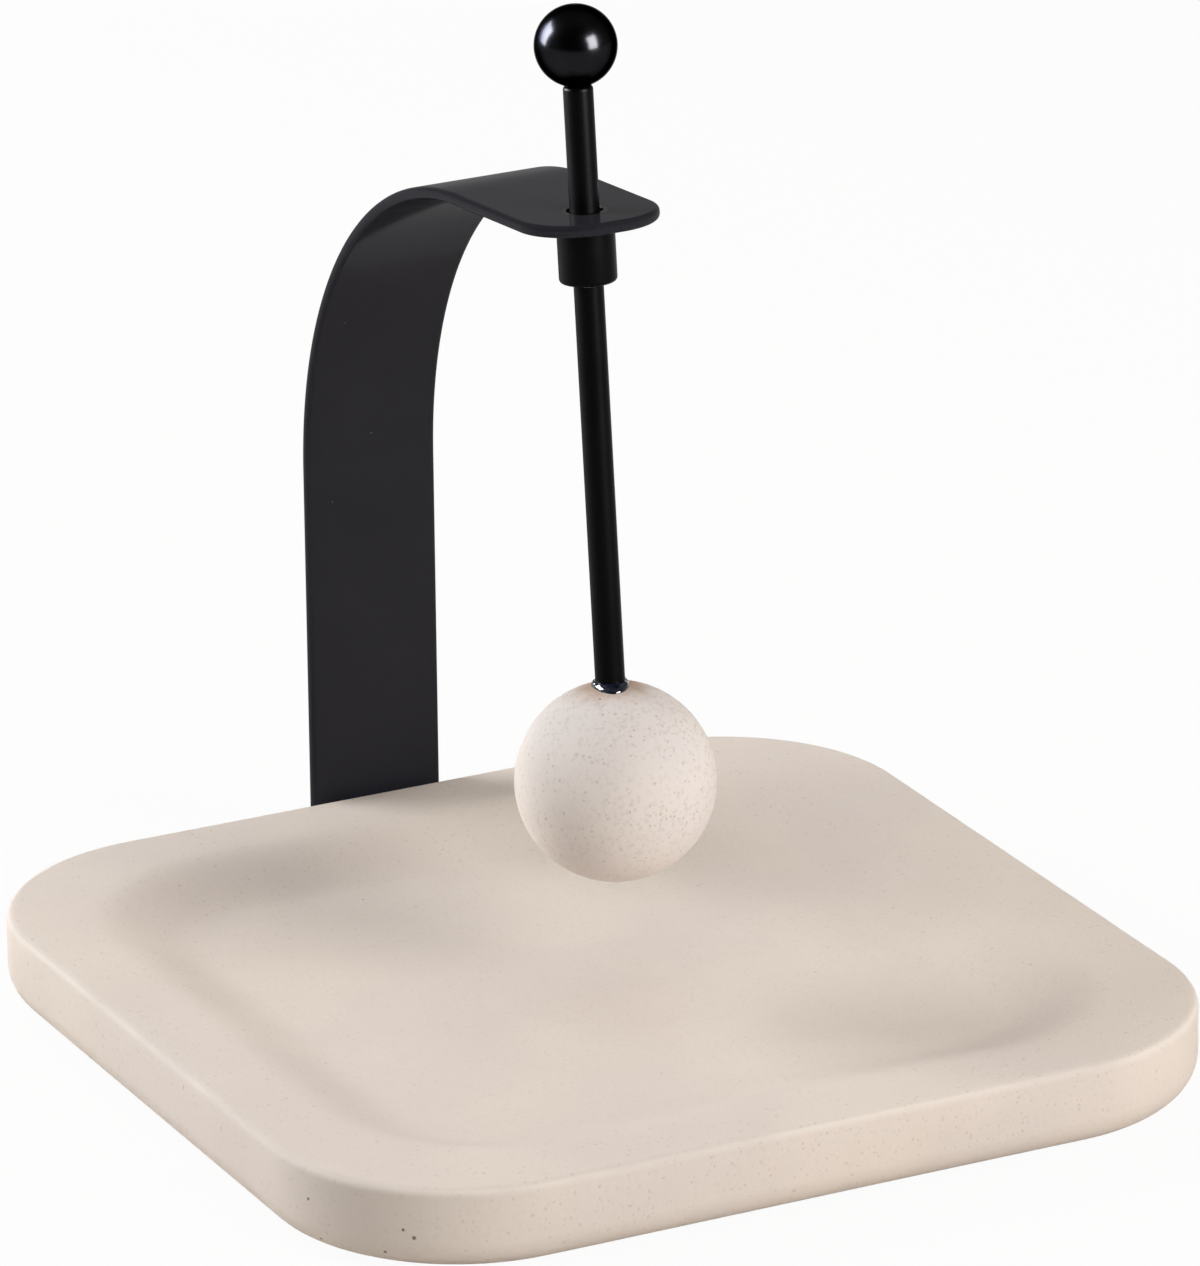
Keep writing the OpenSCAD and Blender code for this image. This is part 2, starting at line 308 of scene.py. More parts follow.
def buildCoatPeel():
    # Fine ripple of a sprayed and baked coat, with a little dust set in it
    group, given, out = newGroup("coatPeel", "ShaderNodeTree", [
        ("Vector", "NodeSocketVector"),
        ("Ripple Scale", "NodeSocketFloat", 700.0),
        ("Dust Amount", "NodeSocketFloat", 0.03),
    ], [
        ("Ripple", "NodeSocketFloat"),
        ("Handling", "NodeSocketFloat"),
        ("Dust", "NodeSocketFloat"),
    ])
    where = given["Vector"]
    distance, pick = cellsAt(group, where, coatSizes["dustScale"])
    shown = math2(group, "LESS_THAN", pick["Red"], given["Dust Amount"])
    dot = ramp(group, distance, coatSizes["dustR"], coatSizes["dustCore"])
    feed(group, out, {"Ripple": noiseAt(group, where, given["Ripple Scale"], 1.5),
                      "Handling": noiseAt(group, where, coatSizes["handlingScale"], 4.0),
                      "Dust": math2(group, "MULTIPLY", dot, shown)})
    return group


stoneGrain = buildStoneGrain()
coatPeel = buildCoatPeel()
print("shader groups built")


# Materials

def stoneMaterial(name, look):
    material, tree, bsdf, where = newMaterial(name, IOR=1.5, Specular_IOR_Level=look["gloss"])
    amount = look["speckAmount"]
    if "speckSide" in look:
        # More specks towards one side of the ball than the other
        oneSided = look["speckSide"]
        reach, more = oneSided["reach"], oneSided["more"]
        out = vector2(tree, "SUBTRACT", where, oneSided["middle"])
        out = vector2(tree, "DOT_PRODUCT", out, oneSided["towards"], "Value")
        amount = ramp(tree, out, -reach, reach, amount - more, amount + more, "LINEAR")
    seen = put(tree, "ShaderNodeGroup", {
        "Vector": where, "Speck Scale": look["speckScale"], "Speck Amount": amount,
        "Pinhole Amount": look["pinholes"]}, node_tree=stoneGrain).outputs
    colour = mixColour(tree, ramp(tree, seen["Warmth"], 0.25, 0.75), look["cool"], look["warm"])
    colour = mixColour(tree, ramp(tree, seen["Cloud"], 0.35, 0.7, 0.0, 0.6), colour, look["pale"])
    for mask, kind in (("Specks", "speck"), ("Flecks", "fleck")):
        share = math2(tree, "MULTIPLY", seen[mask], look[kind + "Depth"])
        colour = mixColour(tree, share, colour, look[kind])
    if "edge" in look:
        # Painted highlight: the upper edge, where the rim turns down to the side, is painted paler than the
        # rest in broken patches, where a sheen would catch it
        normal = put(tree, "ShaderNodeNewGeometry").outputs["Normal"]
        upward = put(tree, "ShaderNodeSeparateXYZ", {0: normal}).outputs["Z"]
        paintedHighlight = math2(tree, "MULTIPLY", ramp(tree, upward, 0.2, 0.7), ramp(tree, upward, 0.92, 0.7))
        patchy = ramp(tree, seen["Cloud"], 0.38, 0.62, 0.35 * look["edgeHighlightDepth"], look["edgeHighlightDepth"])
        colour = mixColour(tree, math2(tree, "MULTIPLY", paintedHighlight, patchy), colour, look["edge"])
    holes = seen["Pinholes"]
    for x, y, z, r in look["marks"]:
        away = vector2(tree, "DISTANCE", where, (x * mm, y * mm, z * mm), "Value")
        holes = math2(tree, "MAXIMUM", holes, ramp(tree, away, r * mm, r * mm * 0.3))
    colour = mixColour(tree, math2(tree, "MULTIPLY", holes, look["pinholeDepth"]), colour, look["pinhole"])
    if "stainAt" in look:
        # Glue that soaked in round the rod left a tan stain
        away = vector2(tree, "DISTANCE", where, look["stainAt"], "Value")
        ragged = math2(tree, "MULTIPLY", noiseAt(tree, where, look["stainScale"], 3.0), -look["stainRagged"])
        away = math2(tree, "ADD", away, ragged)
        stain = ramp(tree, away, look["stainReach"], look["stainCore"], 0.0, look["stainDepth"])
        colour = mixColour(tree, stain, colour, look["stain"])
    tree.links.new(colour, bsdf.inputs["Base Color"])
    rough = ramp(tree, seen["Cloud"], 0.3, 0.7, look["rough"] - 0.05, look["rough"] + 0.05)
    rough = math2(tree, "ADD", rough, math2(tree, "MULTIPLY", holes, 0.3))
    tree.links.new(rough, bsdf.inputs["Roughness"])
    height = math2(tree, "SUBTRACT", seen["Height"], math2(tree, "MULTIPLY", holes, 1.5))
    addBump(tree, bsdf, height, strength=0.35, distance=0.00025)
    return material


def coatMaterial(name, look):
    material, tree, bsdf, where = newMaterial(
        name, Specular_IOR_Level=look["gloss"], Coat_Weight=look["coat"], Coat_Roughness=look["rough"])
    seen = put(tree, "ShaderNodeGroup", {
        "Vector": where, "Ripple Scale": look["ripple"], "Dust Amount": look["dust"],
    }, node_tree=coatPeel).outputs
    colour = mixColour(tree, seen["Handling"], look["dark"], look["light"])
    colour = mixColour(tree, math2(tree, "MULTIPLY", seen["Dust"], 0.5), colour, look["dustColour"])
    tree.links.new(colour, bsdf.inputs["Base Color"])
    rough = ramp(tree, seen["Handling"], 0.3, 0.7, look["rough"] - 0.03, look["rough"] + 0.04)
    tree.links.new(rough, bsdf.inputs["Roughness"])
    addBump(tree, bsdf, seen["Ripple"], look["bump"], distance=0.0001)
    return material


def grainedMaterial(name, light, dark, scale, rough, bumpDepth, stretch=(1, 1, 1), **shader):
    # A plain finish with a noise that tints it and changes its roughness
    material, tree, bsdf, where = newMaterial(name, **shader)
    stretched = put(tree, "ShaderNodeMapping", {"Vector": where, "Scale": stretch}).outputs[0]
    grain = noiseAt(tree, stretched, scale, 4.0)
    tree.links.new(mixColour(tree, ramp(tree, grain, 0.3, 0.7), dark, light), bsdf.inputs["Base Color"])
    tree.links.new(ramp(tree, grain, 0.3, 0.7, *rough), bsdf.inputs["Roughness"])
    addBump(tree, bsdf, grain, strength=0.3, distance=bumpDepth)
    return material


# Heights on the rod's axis, in mm from the flange's upper face
ballHeights = {"top": -96.75, "middle": -117}
ballTop, ballMiddle = (axisFrame @ (Vector((0, 0, ballHeights[k])) * mm) for k in ("top", "middle"))
stoneLook = {
    "cool": srgb(224, 212, 203), "warm": srgb(226, 213, 200), "pale": srgb(231, 219, 208),
    "speck": srgb(184, 168, 151), "speckDepth": 0.4, "speckScale": 950.0, "speckAmount": 0.4,
    "fleck": srgb(156, 136, 119), "fleckDepth": 0.34,
    "pinhole": srgb(84, 66, 56), "pinholes": 0.12, "pinholeDepth": 0.85, "rough": 0.55, "gloss": 0.0,
}
# The paler edge colour is a painted highlight along the tray's upper edge
trayLook = dict(
    stoneLook, edge=srgb(247, 237, 227), edgeHighlightDepth=0.45,
    marks=[(-86.35, -91.45, 10.2, 0.45), (-84.7, -92.8, 8.7, 0.6), (-97.9, -73.65, 12.15, 0.45),
           (-96.05, -75.1, 3.95, 0.45), (-88.6, -88.05, 4.75, 0.5)])
ballLook = dict(
    stoneLook, cool=srgb(229, 220, 215), warm=srgb(231, 221, 209), pale=srgb(236, 226, 217),
    speckAmount=0.75, speckDepth=0.62, rough=0.5, marks=[(-4.9, -15.2, 78.3, 0.35)],
    speckSide={"middle": ballMiddle, "towards": (0.79, -0.2, 0.47), "reach": 0.02, "more": 0.25},
    stain=srgb(176, 138, 104), stainAt=ballTop, stainReach=0.008, stainCore=0.0008, stainDepth=0.65,
    stainScale=260.0, stainRagged=0.0052)
# The strip's black coat is painted lighter and bluer than the same coat on the rod and collar: its own black
# with a painted reflection of the pale room
stripLook = {
    "dark": srgb(36, 36, 41), "light": srgb(42, 42, 47), "rough": 0.12, "gloss": 0.0, "coat": 0.17,
    "ripple": 700.0, "bump": 0.05, "dust": 0.02, "dustColour": srgb(120, 118, 116),
}
rodLook = dict(
    stripLook, dark=srgb(4, 4, 5), light=srgb(7, 7, 8), gloss=0.035, coat=0.0, rough=0.34, dust=0.006)

trayStone = stoneMaterial("trayStone", trayLook)
ballStone = stoneMaterial("ballStone", ballLook)
stripCoat = coatMaterial("stripCoat", stripLook)
rodCoat = coatMaterial("rodCoat", rodLook)
knobLacquer = grainedMaterial(
    "knobLacquer", srgb(31, 31, 33), srgb(28, 28, 30), scale=260.0, rough=(0.18, 0.21), bumpDepth=0.00002,
    Metallic=1.0, Specular_Tint=(0.3, 0.3, 0.3, 1))
setGlue = grainedMaterial(
    "setGlue", srgb(32, 39, 56), srgb(10, 12, 19), scale=700.0, rough=(0.06, 0.12), bumpDepth=0.0003,
    Specular_IOR_Level=0.6, Coat_Weight=0.25, Coat_Roughness=0.05)
linerNylon = grainedMaterial(
    "linerNylon", srgb(176, 176, 170), srgb(150, 150, 145), scale=500.0, rough=(0.45, 0.6), bumpDepth=0.00002)
screwZinc = grainedMaterial(
    "screwZinc", srgb(205, 206, 208), srgb(160, 162, 166), scale=380.0, rough=(0.28, 0.45), bumpDepth=0.00003,
    Metallic=1.0)
insertBrass = grainedMaterial(
    "insertBrass", srgb(214, 180, 110), srgb(178, 142, 78), scale=300.0, rough=(0.3, 0.42), bumpDepth=0.00003,
    stretch=(1, 1, 8), Metallic=1.0)
padRubber = grainedMaterial(
    "padRubber", srgb(52, 52, 52), srgb(34, 34, 35), scale=900.0, rough=(0.7, 0.85), bumpDepth=0.00008)
print("materials built")


# Tray: rings of rounded squares, from the middle of the underside out, over the rim and down to the recess

tray = {
    "half": 100, "cornerR": 41, "middleY": -2, "underZ": 1, "rimZ": 19, "floorZ": 13,
    "lowerR": 7, "upperR": 2, "rimW": 14, "recessR": 38, "slopeRun": 22,
    "cornerSteps": 28, "sideSteps": 20, "lowerSteps": 12, "upperSteps": 10, "slopeSteps": 24,
    "underRings": (0.15, 0.4, 0.7, 0.9), "rimRings": (0.25, 0.5, 0.75),
    "floorRings": (0.92, 0.75, 0.55, 0.32, 0.12),
    "uneven": 0.16, "evenBelow": 0.2, "wave": 14.0, "fineWave": 3.1, "fineShare": 0.3,
}


def trayRing(bm, half, cornerR, z):
    ring = []
    flat = half - cornerR
    for k in range(4):
        turn = Matrix.Rotation(k * math.pi / 2, 2)
        for i in range(tray["cornerSteps"]):
            a = i / tray["cornerSteps"] * math.pi / 2
            ring.append(turn @ Vector((flat + cornerR * math.cos(a), flat + cornerR * math.sin(a))))
        for i in range(tray["sideSteps"]):
            ring.append(turn @ Vector((flat - 2 * flat * i / tray["sideSteps"], half)))
    return [bm.verts.new(Vector((p.x, p.y + tray["middleY"], z)) * mm) for p in ring]


def buildTray():
    bm = bmesh.new()
    half, cornerR = tray["half"], tray["cornerR"]
    rings = []
    low = (half - tray["lowerR"], cornerR - tray["lowerR"])
    for s in tray["underRings"]:
        rings.append((low[0] * s, low[1] * s, tray["underZ"]))
    for i in range(tray["lowerSteps"] + 1):
        a = i / tray["lowerSteps"] * math.pi / 2
        inset = tray["lowerR"] * (1 - math.sin(a))
        rings.append((half - inset, cornerR - inset, tray["underZ"] + tray["lowerR"] * (1 - math.cos(a))))
    for i in range(tray["upperSteps"] + 1):
        a = i / tray["upperSteps"] * math.pi / 2
        inset = tray["upperR"] * (1 - math.cos(a))
        rings.append((half - inset, cornerR - inset, tray["rimZ"] - tray["upperR"] * (1 - math.sin(a))))
    start = (half - tray["upperR"], cornerR - tray["upperR"])
    edge = (half - tray["rimW"], tray["recessR"])
    for s in tray["rimRings"]:
        rings.append((start[0] + (edge[0] - start[0]) * s, start[1] + (edge[1] - start[1]) * s, tray["rimZ"]))
    drop = tray["rimZ"] - tray["floorZ"]
    for i in range(tray["slopeSteps"] + 1):
        s = i / tray["slopeSteps"]
        rings.append((edge[0] - tray["slopeRun"] * s, edge[1] - tray["slopeRun"] * s,
                      tray["rimZ"] - drop * (1 - math.cos(math.pi * s)) / 2))
    inner = rings[-1]
    for s in tray["floorRings"]:
        rings.append((inner[0] * s, inner[1] * s, tray["floorZ"]))
    made = [trayRing(bm, *ring) for ring in rings]
    for z, last in ((tray["underZ"], made[0]), (tray["floorZ"], made[-1])):
        made.insert(0 if last is made[0] else len(made), [bm.verts.new(Vector((0, tray["middleY"], z)) * mm)])
    for low, high in zip(made, made[1:]):
        joinRings(bm, low, high)
    bmesh.ops.recalc_face_normals(bm, faces=bm.faces)
    bm.normal_update()
    for v in bm.verts:
        # A hand-cast surface is never quite true; the wave only goes inwards
        if v.co.z > (tray["underZ"] + tray["evenBelow"]) * mm:
            wave = noise.noise(v.co * tray["wave"]) * (1 - tray["fineShare"])
            wave += noise.noise(v.co * tray["wave"] * tray["fineWave"]) * tray["fineShare"]
            v.co += v.normal * tray["uneven"] * mm * (wave - 1) / 2
    return newObject("tray_stone", bm)


def prism(outline, halfWidth):
    # A closed outline of y and z in mm, drawn out along x
    bm = bmesh.new()
    left = [bm.verts.new(Vector((-halfWidth, y, z)) * mm) for y, z in outline]
    right = [bm.verts.new(Vector((halfWidth, y, z)) * mm) for y, z in outline]
    joinRings(bm, left, right)
    bm.faces.new(left)
    bm.faces.new(right)
    return bm


def pillar(places, rings, segments=48):
    # Upright turned plugs at some places, each from a list of radius and height in mm
    bm = bmesh.new()
    for x, y in places:
        made = [[bm.verts.new(Vector((x + r * math.cos(a), y + r * math.sin(a), z)) * mm)
                 for a in (2 * math.pi * i / segments for i in range(segments))] for r, z in rings]
        for low, high in zip(made, made[1:]):
            joinRings(bm, low, high)
        bm.faces.new(made[0])
        bm.faces.new(made[-1])
    return bm


# Under the tray's rear edge: a pocket for the strip's foot, and two holes for the inserts

foot = {
    "end": 71, "rear": 99.5, "underZ": 1, "thick": 2.5, "bendR": 6, "halfWidth": 15.05, "room": 0.3,
    "past": 1, "bendSteps": 16, "screwX": 8.25, "screwY": 83, "insertR": 3.1, "insertTop": 12.5,
}
bendAt = (foot["rear"] - foot["bendR"], foot["underZ"] + foot["thick"] + foot["bendR"])
pocketEnd, pocketRear = foot["end"] - foot["room"], foot["rear"] + foot["past"]
pocketLine = [(pocketEnd, -foot["past"]), (pocketRear, -foot["past"]), (pocketRear, bendAt[1])]
for i in range(foot["bendSteps"] + 1):
    a = -math.pi / 2 * i / foot["bendSteps"]
    pocketLine.append((bendAt[0] + foot["bendR"] * math.cos(a), bendAt[1] + foot["bendR"] * math.sin(a)))
pocketLine.append((pocketEnd, foot["underZ"] + foot["thick"]))
screwPlaces = [(-foot["screwX"], foot["screwY"]), (foot["screwX"], foot["screwY"])]

trayObject = buildTray()
pocket = newObject("pocketCutter", prism(pocketLine, foot["halfWidth"]))
insertHoles = newObject("insertCutter", pillar(
    screwPlaces, [(foot["insertR"], 0), (foot["insertR"], foot["insertTop"])]))
cutOut(trayObject, pocket)
cutOut(trayObject, insertHoles)
bake(trayObject)
for cutter in (pocket, insertHoles):
    bpy.data.objects.remove(cutter)
smooth(trayObject, angle=40)
settle(trayObject, trayStone, "base", "speckled_stone", "tray")


# Strip: a flat blank with rounded edges and punched holes, bent along its path by Geometry Nodes

strip = {
    "halfWidth": 14.75, "thick": 2.5, "endR": 12.5, "endToRod": 13, "edgeR": 1.0,
    "footEnd": 71, "backY": 100.745, "footZ": 2.25, "bendR": 7.25, "archR": 80.25, "archY": 20.5,
    "archZ": 91.5, "rodY": -1, "holeR": 4.83, "screwR": 2.05, "headR": 3.65, "cutHalf": 3, "cutPast": 1,
    "endSteps": 24, "edgeSteps": 6, "bendSteps": 120, "rowSteps": (7, 0.7, 9, 1.4, 9),
}


def stripLengths():
    # Lengths along the middle of the sheet: foot, bend, upright, arch and flange
    footRun = strip["backY"] - strip["bendR"] - strip["footEnd"]
    bendRun = strip["bendR"] * math.pi / 2
    upright = strip["archZ"] - strip["footZ"] - strip["bendR"]
    archRun = strip["archR"] * (math.pi / 2 - lean)
    outer = strip["archR"] + strip["thick"] / 2
    flange = (strip["archY"] - strip["rodY"] + outer * math.sin(lean)) / math.cos(lean) + strip["endToRod"]
    return footRun, bendRun, upright, archRun, flange


def stripOutline(lengths, inset):
    # Half of the blank's outline from the foot to the free end: place along the strip and half width, in mm
    ends = [sum(lengths[:k + 1]) for k in range(5)]
    straight = ends[4] - strip["endR"]
    rows = [(inset, strip["halfWidth"] - inset)]
    for start, stop, step in zip([inset] + ends[:4], ends[:4] + [straight], strip["rowSteps"]):
        count = max(1, round((stop - start) / step))
        rows += [(start + (stop - start) * (i + 1) / count, rows[0][1]) for i in range(count)]
    r = strip["endR"] - inset
    for i in range(1, strip["endSteps"] + 1):
        a = math.pi / 2 * i / strip["endSteps"]
        rows.append((straight + r * math.sin(a), strip["halfWidth"] - strip["endR"] + r * math.cos(a)))
    return rows


def buildBlank(lengths):
    # Lies flat: x across, y along the strip, z towards the inside of the bends
    bm = bmesh.new()
    h, e = strip["thick"] / 2, strip["edgeR"]
    turns = [math.pi / 2 / strip["edgeSteps"] * k for k in range(strip["edgeSteps"] + 1)]
    levels = [(e * (1 - math.sin(a)), h - e * (1 - math.cos(a))) for a in turns]
    levels += [(inset, -z) for inset, z in reversed(levels)]
    loops = []
    for inset, z in levels:
        rows = stripOutline(lengths, inset)
        ring = [(-w, u) for u, w in rows] + [(w, u) for u, w in reversed(rows)]
        loops.append([bm.verts.new(Vector((x, u, z)) * mm) for x, u in ring])
    for low, high in zip(loops, loops[1:]):
        joinRings(bm, low, high)
    for ring in (loops[0], loops[-1]):
        for i in range(len(ring) // 2 - 1):
            bm.faces.new((ring[i], ring[i + 1], ring[-i - 2], ring[-i - 1]))
    return newObject("arch_strip_coated", bm)


def buildBentStrip():
    tree, given, out = newGroup("bentStrip", "GeometryNodeTree", [
        ("Blank", "NodeSocketGeometry"),
        ("Path", "NodeSocketObject"),
        ("Bend Radius", "NodeSocketFloat", 0.007),
        ("Arch Radius", "NodeSocketFloat", 0.079),
        ("Bend Steps", "NodeSocketInt", 90),
        ("Coat", "NodeSocketMaterial"),
    ], [("Strip", "NodeSocketGeometry")])
    line = put(tree, "GeometryNodeObjectInfo", {"Object": given["Path"]})
    first = put(tree, "FunctionNodeCompare", {2: put(tree, "GeometryNodeInputIndex").outputs[0], 3: 1},
                data_type="INT", operation="EQUAL")
    radius = put(tree, "GeometryNodeSwitch", {"Switch": first.outputs[0], "False": given["Arch Radius"],
                                              "True": given["Bend Radius"]}, input_type="FLOAT")
    path = put(tree, "GeometryNodeFilletCurve", {
        "Curve": line.outputs["Geometry"], "Count": given["Bend Steps"], "Radius": radius.outputs[0],
    }, mode="POLY")
    flat = put(tree, "ShaderNodeSeparateXYZ", {0: put(tree, "GeometryNodeInputPosition").outputs[0]}).outputs
    spot = put(tree, "GeometryNodeSampleCurve", {
        "Curves": path.outputs[0], "Length": flat["Y"]}, mode="LENGTH").outputs
    inward = vector2(tree, "CROSS_PRODUCT", (1, 0, 0), spot["Tangent"])
    inward = put(tree, "ShaderNodeVectorMath", {0: inward}, operation="NORMALIZE").outputs[0]
    place = vector2(tree, "ADD", spot["Position"], times(tree, inward, flat["Z"]))
    place = vector2(tree, "ADD", place, put(tree, "ShaderNodeCombineXYZ", {"X": flat["X"]}).outputs[0])
    bent = put(tree, "GeometryNodeSetPosition", {"Geometry": given["Blank"], "Position": place})
    whole = put(tree, "GeometryNodeRealizeInstances", {"Geometry": bent.outputs[0]})
    coated = put(tree, "GeometryNodeSetMaterial", {"Geometry": whole.outputs[0], "Material": given["Coat"]})
    tree.links.new(coated.outputs[0], out["Strip"])
    return tree


def buildPath(lengths):
    # The strip's corners before they are bent: foot end, heel, shoulder, flange end
    outer = strip["archR"] * math.tan((math.pi / 2 - lean) / 2)
    reach = outer + lengths[4]
    shoulder = (strip["backY"], strip["archZ"] + outer)
    corners = [(strip["footEnd"], strip["footZ"]), (strip["backY"], strip["footZ"]), shoulder,
               (shoulder[0] - reach * math.cos(lean), shoulder[1] + reach * math.sin(lean))]
    curve = bpy.data.curves.new("stripPath", "CURVE")
    curve.dimensions = "3D"
    spline = curve.splines.new("POLY")
    spline.points.add(3)
    for point, (y, z) in zip(spline.points, corners):
        point.co = (0, y * mm, z * mm, 1)
    obj = bpy.data.objects.new("stripPath", curve)
    scene.collection.objects.link(obj)
    return obj


lengths = stripLengths()
stripObject = buildBlank(lengths)
stripPath = buildPath(lengths)
rodHole = newObject("rodHoleCutter", pillar(
    [(0, sum(lengths) - strip["endToRod"])],
    [(strip["holeR"], -strip["cutHalf"]), (strip["holeR"], strip["cutHalf"])], segments=64))
footAlong = foot["screwY"] - strip["footEnd"]
footHoles = newObject("footHoleCutter", pillar(
    [(-foot["screwX"], footAlong), (foot["screwX"], footAlong)],
    [(strip["headR"] + strip["cutPast"], -strip["cutPast"] - strip["thick"] / 2),
     (strip["screwR"], strip["headR"] - strip["screwR"] - strip["thick"] / 2),
     (strip["screwR"], strip["cutHalf"])]))
cutOut(stripObject, rodHole)
cutOut(stripObject, footHoles)
bend = stripObject.modifiers.new("bend", "NODES")
bend.node_group = buildBentStrip()
setInputs(bend, {"Path": stripPath, "Bend Radius": strip["bendR"] * mm, "Arch Radius": strip["archR"] * mm,
                 "Bend Steps": strip["bendSteps"], "Coat": stripCoat})
smoothEdges = stripObject.modifiers.new("normals", "WEIGHTED_NORMAL")
smoothEdges.keep_sharp = True
stripObject.data.polygons.foreach_set("use_smooth", [True] * len(stripObject.data.polygons))
bake(stripObject)
for helper in (rodHole, footHoles, stripPath):
    bpy.data.objects.remove(helper)
settle(stripObject, stripCoat, "base", "black_coat", "arch_strip")


# Screws and pads: one piece of each, set out in rows by Geometry Nodes

def buildRowsOf():
    tree, given, out = newGroup("rowsOf", "GeometryNodeTree", [
        ("Piece", "NodeSocketGeometry"),
        ("Columns", "NodeSocketInt", 2),
        ("Rows", "NodeSocketInt", 2),
        ("Width", "NodeSocketFloat", 0.1),
        ("Depth", "NodeSocketFloat", 0.1),
        ("Middle", "NodeSocketVector"),
        ("Finish", "NodeSocketMaterial"),
    ], [("Set", "NodeSocketGeometry")])
    grid = put(tree, "GeometryNodeMeshGrid", {"Size X": given["Width"], "Size Y": given["Depth"],
                                              "Vertices X": given["Columns"], "Vertices Y": given["Rows"]})
    moved = put(tree, "GeometryNodeTransform", {"Geometry": grid.outputs[0], "Translation": given["Middle"]})
    copies = put(tree, "GeometryNodeInstanceOnPoints", {
        "Points": moved.outputs[0], "Instance": given["Piece"]})
    whole = put(tree, "GeometryNodeRealizeInstances", {"Geometry": copies.outputs[0]})
    finished = put(tree, "GeometryNodeSetMaterial", {
        "Geometry": whole.outputs[0], "Material": given["Finish"]})
    tree.links.new(finished.outputs[0], out["Set"])
    return tree


rowsOf = buildRowsOf()


def setOut(obj, values):
    rows = obj.modifiers.new("rows", "NODES")
    rows.node_group = rowsOf
    setInputs(rows, values)
    bake(obj)
    smooth(obj)


def turnUpright(outline, segments=64):
    bm = bmesh.new()
    turns = [2 * math.pi * i / segments for i in range(segments)]
    made = [[bm.verts.new(Vector((r * math.cos(a), r * math.sin(a), z)) * mm)
             for a in (turns if r > 1e-6 else turns[:1])] for r, z in outline]
    for low, high in zip(made, made[1:]):
        joinRings(bm, low, high)
    return bm


pad = {"r": 8, "topR": 7.9, "thick": 1, "edge": 0.35, "span": 140, "middleY": -2,
       "dish": 0.12, "dishR": 3.0, "ringR": 4.2}
padObject = newObject("foot_pads", turnUpright(roundOff([
    (0, pad["dish"], 0), (pad["dishR"], pad["dish"], 0.5), (pad["ringR"], 0, 0.5), (pad["r"], 0, pad["edge"]),
    (pad["topR"], pad["thick"], 0.1), (0, pad["thick"], 0)])))
setOut(padObject, {"Columns": 2, "Rows": 2, "Width": pad["span"] * mm, "Depth": pad["span"] * mm,
                   "Middle": (0, pad["middleY"] * mm, 0), "Finish": padRubber})
settle(padObject, padRubber, "base", "pad_rubber",
       "pad_front_left", "pad_front_right", "pad_rear_left", "pad_rear_right")

screw = {"headR": 3.6, "r": 2, "length": 10, "cross": 1.7, "crossHalf": 0.4, "crossDeep": 1.2}
screwObject = newObject("foot_screws_zinc", turnUpright(roundOff([
    (0, 0, 0), (screw["headR"], 0, 0.12), (screw["r"], screw["headR"] - screw["r"], 0.2),
    (screw["r"], screw["length"], 0.4), (0, screw["length"], 0)])))
crossBars = bmesh.new()
barSize = Vector((2 * screw["cross"], 2 * screw["crossHalf"], 2 * screw["crossDeep"])) * mm
for turn in (0, math.pi / 2):
    bar = bmesh.ops.create_cube(crossBars, size=1)["verts"]
    bmesh.ops.scale(crossBars, vec=barSize, verts=bar)
    bmesh.ops.rotate(crossBars, matrix=Matrix.Rotation(turn, 3, "Z"), verts=bar)
crossCutter = newObject("crossCutter", crossBars)
cutOut(screwObject, crossCutter)
screwObject.modifiers["cut"].use_self = True
setOut(screwObject, {"Columns": 2, "Rows": 1, "Width": 2 * foot["screwX"] * mm, "Depth": 0.0,
                     "Middle": (0, foot["screwY"] * mm, foot["underZ"] * mm), "Finish": screwZinc})
bpy.data.objects.remove(crossCutter)
settle(screwObject, screwZinc, "base", "screw_steel", "foot_screws")

inserts = frame["nodes"]["thread_inserts"]
inserts.data.materials.clear()
inserts.data.materials.append(insertBrass)
print("rows set out")


# Turned pieces on the rod's axis; heights are from the flange's upper face

collar = {"boreR": 3.7, "r": 5.8, "top": -2.5, "end": -14.5, "spigotR": 4.8, "spigotTop": -0.02, "edge": 0.9}
collarLine = roundOff([
    (collar["boreR"], collar["end"], 0.25), (collar["r"], collar["end"], collar["edge"]),
    (collar["r"], collar["top"], 0), (collar["spigotR"], collar["top"], 0),
    (collar["spigotR"], collar["spigotTop"], 0), (collar["boreR"], collar["spigotTop"], 0.12)], closed=True)
collarObject = newObject("guide_collar_coated", turnOutline(collarLine, segments=128, closed=True))
smooth(collarObject)
settle(collarObject, rodCoat, "base", "black_coat", "guide_collar")

liner = {"boreR": 3.1, "r": 3.6, "end": -14.9, "top": -2.5, "ribR": 4.1, "ribMid": -8.5, "ribHalf": 0.6}
ribLow, ribHigh = liner["ribMid"] - liner["ribHalf"], liner["ribMid"] + liner["ribHalf"]
linerLine = roundOff([
    (liner["boreR"], liner["end"], 0.1), (liner["r"], liner["end"], 0.12),
    (liner["r"], ribLow, 0), (liner["ribR"], ribLow, 0.1),
    (liner["ribR"], ribHigh, 0.1), (liner["r"], ribHigh, 0),
    (liner["r"], liner["top"], 0.1), (liner["boreR"], liner["top"], 0.1)], steps=4, closed=True)
linerObject = newObject("guide_liner_nylon", turnOutline(linerLine, segments=96, closed=True))
smooth(linerObject)
settle(linerObject, linerNylon, "liner", "liner_nylon", "guide_liner")

rod = {"r": 3, "low": -112.75, "seat": 25.138, "shoulder": 0.9, "studR": 2, "studTop": 32.13}
rodLine = roundOff([
    (0, rod["low"], 0), (rod["r"], rod["low"], 0.3), (rod["r"], rod["seat"], rod["shoulder"]),
    (rod["studR"], rod["seat"], 0), (rod["studR"], rod["studTop"], 0.3), (0, rod["studTop"], 0)], steps=8)
rodObject = newObject("rod_coated", turnOutline(rodLine, segments=96))
smooth(rodObject)
settle(rodObject, rodCoat, "plunger", "black_coat", "rod")

